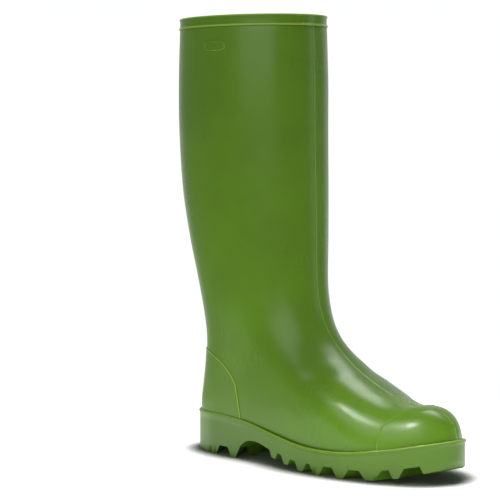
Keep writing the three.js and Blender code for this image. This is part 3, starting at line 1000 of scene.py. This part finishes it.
def inside(points, shape):
    x, y = points[:, 0], points[:, 1]
    hit = np.zeros(len(points), bool)
    for (x1, y1), (x2, y2) in zip(shape, np.roll(shape, -1, 0)):
        crosses = (y1 > y) != (y2 > y)
        hit ^= crosses & (x < (x2 - x1) * (y - y1) / np.where(y2 == y1, 1e-9, y2 - y1) + x1)
    return hit


# square studs in rows over the toe and heel panels, their tips on the ground
def makeKnurl():
    pitch = sole["knurlPitch"]
    steps = np.arange(-60, 340, pitch)
    x, y = np.meshgrid(steps, np.arange(-60, 60, pitch), indexing="ij")
    spots = np.column_stack([x.ravel(), y.ravel()])
    border = outlineRing(sole["wallInset"] + pitch * 0.8)
    onPanel = inside(spots, np.array(toePanel)) | inside(spots, np.array(heelPanel))
    kept = inside(spots, border) & onPanel
    spots = spots[kept]
    tall = sole["knurl"] + 0.1
    points = np.column_stack([spots, groundLine(spots[:, 0]) + tall])
    return grow(addEdges("treadKnurl", points, []), studTree(), wide=pitch * 0.68 * mm, tip=pitch * 0.16 * mm,
                tall=tall * mm)


def serrationTree():
    board = GeometryBoard("serration", pitch=0.0015, size=(0.0006, 0.0016, 0.0007))
    path = board.add("GeometryNodeMeshToCurve", {}, {0: board.named("Geometry")})
    path = board.add("GeometryNodeResampleCurve", {"mode": "LENGTH"},
                     {0: path, "Length": board.named("pitch")})
    tangent = board.add("GeometryNodeInputTangent")
    turn = board.add("FunctionNodeAlignRotationToVector", {"axis": "X", "pivot_axis": "Z"},
                     {"Vector": tangent})
    tick = board.add("GeometryNodeMeshCube", {}, {"Size": board.named("size")})
    placed = board.add("GeometryNodeInstanceOnPoints", {}, {0: path, "Instance": tick, "Rotation": turn})
    return board.end(placed, soleRubber)


# fine ridges across the ledge, round the fore part
def makeSerration():
    ring = outlineRing(sole["beadRound"] + 1.2)
    ring = ring[ring[:, 0] > sole["serrationFrom"]]
    points = np.column_stack([ring, soleTop(ring[:, 0]) - sole["ledgeDrop"] + 0.05])
    pairs = [(i, i + 1) for i in range(len(points) - 1)]
    return grow(addEdges("weltSerration", points, pairs), serrationTree(), pitch=sole["serration"] * mm)


treadKnurl = makeKnurl()
weltSerration = makeSerration()
print("knurl", len(treadKnurl.data.polygons), "serration", len(weltSerration.data.polygons))


# the lining: knitted cloth against the inside of the rubber
lining = {
    "clear": 0.3,
    "puff": 0.8,
    "board": 1.8,
    "thick": 1.4,
    "flangeLow": 1.6,
}


def liningFace(normals):
    floorShare = smooth(-normals[..., 2], 0.35, 0.8)
    return -(last["wall"] + 2 * lining["clear"] + lining["puff"]) - floorShare * lining["board"]


def makeLining():
    grid, normals, _, _ = skinGrid(6, 96)
    grid, normals = grid[:-2], normals[:-2]
    face = liningFace(normals)
    outer = grid + normals * face[..., None]
    inner = grid + normals * (face - lining["thick"])[..., None]
    outer[0, :, 2] = inner[0, :, 2] = last["bootHeight"] - lining["flangeLow"]
    return addShell("liningKnit", outer, inner, True, 60)


liningKnit = makeLining()
print("lining made")


# the insole: a footbed with a rolled edge and a shallow cup at the heel
footbed = {
    "edge": 10.0,
    "lift": 8.2,
    "thick": 4.0,
    "roll": 1.3,
    "cup": 0.9,
}


def makeInsole():
    def ring(inset, height):
        made = outlineRing(lambda x: weltWidth(x) + footbed["edge"] + inset, 90)
        return np.column_stack([made, underside(made[:, 0]) + footbed["lift"] + height])

    rows = [ring(0.5, 0.0), ring(0.0, 0.5)]
    for a in np.radians(np.linspace(0, 90, 6)):
        rows.append(ring(footbed["roll"] * (1 - math.cos(a)),
                         footbed["thick"] - footbed["roll"] * (1 - math.sin(a))))
    for inset in (2.5, 4.5, 7.5, 11.0, 15.0):
        dish = footbed["cup"] * smooth(inset, 1.5, 12)
        rows.append(ring(inset, footbed["thick"] - dish))
    return addRings("insoleBed", rows, 45)


insoleBed = makeInsole()
print("insole made")


# other finishes: knit, felt, fibre board, cellular rubber, steel
def makeKnit():
    look = Finish("liningKnit", **{"Sheen Weight": 0.25, "Specular IOR Level": 0.2})
    turn = look.add("ShaderNodeSeparateXYZ", {}, {0: look.place})
    x, y, z = turn, Flow(look, turn.socket.node.outputs[1]), Flow(look, turn.socket.node.outputs[2])
    around = x.maths("ARCTAN2", y, x + 0.08)
    wale = x.maths("SINE", 75 * around)
    course = x.maths("SINE", 2600 * z + 1.2 * wale)
    loop = 0.6 * (wale * wale) + 0.4 * course
    colour = look.mix(loop.ramp(-0.3, 0.9), srgb(120, 112, 96), srgb(206, 199, 182))
    cloud = look.noise(0.03, 3).ramp(0.3, 0.7, 0.0, 0.25)
    look.set("Base Color", look.mix(cloud, colour, srgb(168, 160, 140)))
    look.set("Roughness", look.noise(0.002).ramp(0.2, 0.8, 0.85, 0.98))
    look.set("Normal", look.bump(loop + look.noise(0.0004) * 0.4, 0.0003, 0.9))
    return look.material


def makeFibre(name, light, dark, size, depth, rough=0.9, stretch=(1, 1, 1)):
    look = Finish(name, **{"Specular IOR Level": 0.25})
    strand = look.noise(size, 5, 0.7, stretch)
    cloud = look.noise(size * 14, 2, 0.5, shift=2.0)
    colour = look.mix(strand.ramp(0.35, 0.65), srgb(*dark), srgb(*light))
    dim = srgb(*[c * 0.8 for c in light])
    look.set("Base Color", look.mix(cloud.ramp(0.4, 0.7, 0.0, 0.3), colour, dim))
    look.set("Roughness", strand.ramp(0.3, 0.7, rough - 0.08, rough + 0.06))
    look.set("Normal", look.bump(strand, depth))
    return look.material


def makeSteel():
    look = Finish("shankSteel", **{"Metallic": 1.0})
    brush = look.noise(0.0006, 4, 0.6, (0.05, 1, 1))
    look.set("Base Color", look.mix(brush, srgb(150, 152, 154), srgb(198, 200, 202)))
    look.set("Roughness", brush.ramp(0.2, 0.8, 0.28, 0.46))
    look.set("Normal", look.bump(brush, 0.00002))
    return look.material


knit = makeKnit()
felt = makeFibre("insoleFelt", (132, 136, 124), (84, 88, 80), 0.0008, 0.0002)
stiffenerFibre = makeFibre("stiffenerFibre", (210, 200, 172), (168, 156, 128), 0.0012, 0.0001, 0.85)
boardFibre = makeFibre("boardFibre", (176, 142, 98), (128, 98, 64), 0.001, 0.0001, 0.85, (0.3, 1, 1))
coreRubber = makeFibre("coreRubber", (70, 74, 66), (38, 40, 36), 0.0015, 0.0002, 0.8)
shankSteel = makeSteel()
print("finishes mixed")

pieceRows = (
    (legAndVamp, upperRubber, "boot", "leg_and_vamp", "upper_rubber"),
    (toeCap, upperRubber, "boot", "toe_cap", "upper_rubber"),
    (heelCounter, upperRubber, "boot", "heel_counter", "upper_rubber"),
    (cuffBand, upperRubber, "boot", "cuff_band", "upper_rubber"),
    (outsole, soleRubber, "boot", "outsole", "sole_rubber"),
    (liningKnit, knit, "boot", "lining", "lining_cloth"),
    (insoleBed, felt, "insole", "insole", "insole_felt"),
)
trimRows = (
    (sideBadge, upperRubber, "boot", None, "upper_rubber"),
    (treadKnurl, soleRubber, "boot", None, "sole_rubber"),
    (weltSerration, soleRubber, "boot", None, "sole_rubber"),
)
for piece, look, body, node, slotName in pieceRows + trimRows:
    piece.data.materials.clear()
    piece.data.materials.append(look)
    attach(piece, body)
    if node:
        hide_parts(node)

for node, look in (("toe_stiffener", stiffenerFibre), ("heel_stiffener", stiffenerFibre),
                   ("insole_board", boardFibre), ("heel_core", coreRubber), ("shank", shankSteel)):
    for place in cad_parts[node].material_slots:
        place.material = look


# floor, light and camera; azimuths run round the boot from the camera, positive to its right
studio = {
    "heading": 43.193,
    "dip": 3.268,
    "lens": 136.1,
    "aim": (-27.2, -56.8, 194.6),
    "distance": 1700.0,
    "floor": 0.45,
    "glow": 0.9,
    "skyHigh": 0.75,
    "skyLow": 0.26,
    "skyTurn": 172.0,
}
lights = {
    "frontBox": {"azimuth": -32, "elevation": 30, "distance": 1.6, "size": (1.4, 1.2), "power": 7.8},
    "overheadBox": {"azimuth": 138, "elevation": 64, "distance": 1.4, "size": (0.7, 0.55), "power": 6.5},
    "sideStrip": {"azimuth": 84, "elevation": 6, "distance": 1.6, "size": (0.5, 1.3), "power": 1.8},
    "toeSpot": {"azimuth": -44, "elevation": 50, "distance": 0.6, "size": (0.15, 0.07), "power": 0.016,
                "spread": 9, "aim": (0.136, -0.02, 0.05)},
}


def towards(azimuth, elevation):
    turn = math.radians(azimuth - studio["heading"])
    flat = math.cos(math.radians(elevation))
    return Vector((math.cos(turn) * flat, math.sin(turn) * flat, math.sin(math.radians(elevation))))


def addLight(name, row):
    data = bpy.data.lights.new(name, "AREA")
    data.shape = "RECTANGLE"
    data.size, data.size_y = row["size"]
    data.energy = row["power"]
    data.spread = math.radians(row.get("spread", 180))
    lamp = bpy.data.objects.new(name, data)
    way = towards(row["azimuth"], row["elevation"])
    lamp.location = Vector(row.get("aim", (0, 0, 0.18))) + way * row["distance"]
    lamp.rotation_euler = (-way).to_track_quat("-Z", "Y").to_euler()
    lamp.visible_camera = False
    bpy.context.scene.collection.objects.link(lamp)


def makeFloor():
    mesh = bpy.data.meshes.new("floor")
    turns = np.linspace(0, 2 * math.pi, 97)[:-1]
    rim = [(studio["floor"] * math.cos(turn), studio["floor"] * math.sin(turn), 0) for turn in turns]
    mesh.from_pydata(rim, [], [tuple(range(len(rim)))])
    made = bpy.data.objects.new("floor", mesh)
    bpy.context.scene.collection.objects.link(made)
    look = Finish("floorPaper", **{"Roughness": 0.75, "Specular IOR Level": 0.2,
                                   "Emission Strength": studio["glow"]})
    # painted contact shadow: ambient occlusion darkens the floor's glow and colour close to the boot
    contactShade = look.add("ShaderNodeAmbientOcclusion", {"samples": 8}, {"Distance": 0.032}, "AO")
    unshadowed = contactShade.ramp(0.58, 0.94)
    look.set("Emission Color", look.mix(unshadowed, (0.01, 0.012, 0.008, 1), (1, 1, 1, 1)))
    look.set("Base Color", look.mix(unshadowed, (0.1, 0.12, 0.08, 1), (0.84, 0.86, 0.85, 1)))
    made.data.materials.append(look.material)


def makeCamera():
    view = -towards(0, studio["dip"])
    data = bpy.data.cameras.new("camera")
    data.lens, data.sensor_width = studio["lens"], 36.0
    data.clip_end = 50.0
    made = bpy.data.objects.new("camera", data)
    made.location = (Vector(studio["aim"]) - view * studio["distance"]) * mm
    made.rotation_euler = view.to_track_quat("-Z", "Y").to_euler()
    bpy.context.scene.collection.objects.link(made)
    bpy.context.scene.camera = made


# white paper behind the boot, a dimmer room on the camera's side; the background itself is plain
def makeSky():
    world = bpy.data.worlds.new("studio")
    world.use_nodes = True
    bpy.context.scene.world = world
    sky = Board(world.node_tree)
    ray = sky.add("ShaderNodeTexCoord", {}, {}, "Generated")
    facing = sky.add("ShaderNodeVectorMath", {"operation": "DOT_PRODUCT"},
                     {0: ray, 1: towards(studio["skyTurn"], 0)}, "Value")
    level = facing.ramp(0.66, 0.88, studio["skyLow"], studio["skyHigh"])
    plain = sky.add("ShaderNodeLightPath", {}, {}, "Is Camera Ray")
    background = sky.tree.nodes["Background"]
    background.inputs["Color"].default_value = (0.98, 1.0, 0.99, 1)
    sky.feed(background.inputs["Strength"], level + (1.02 - level) * plain)


makeFloor()
makeCamera()
makeSky()
for name, row in lights.items():
    addLight(name, row)
bpy.context.scene.view_settings.view_transform = "Standard"
print("studio lit")
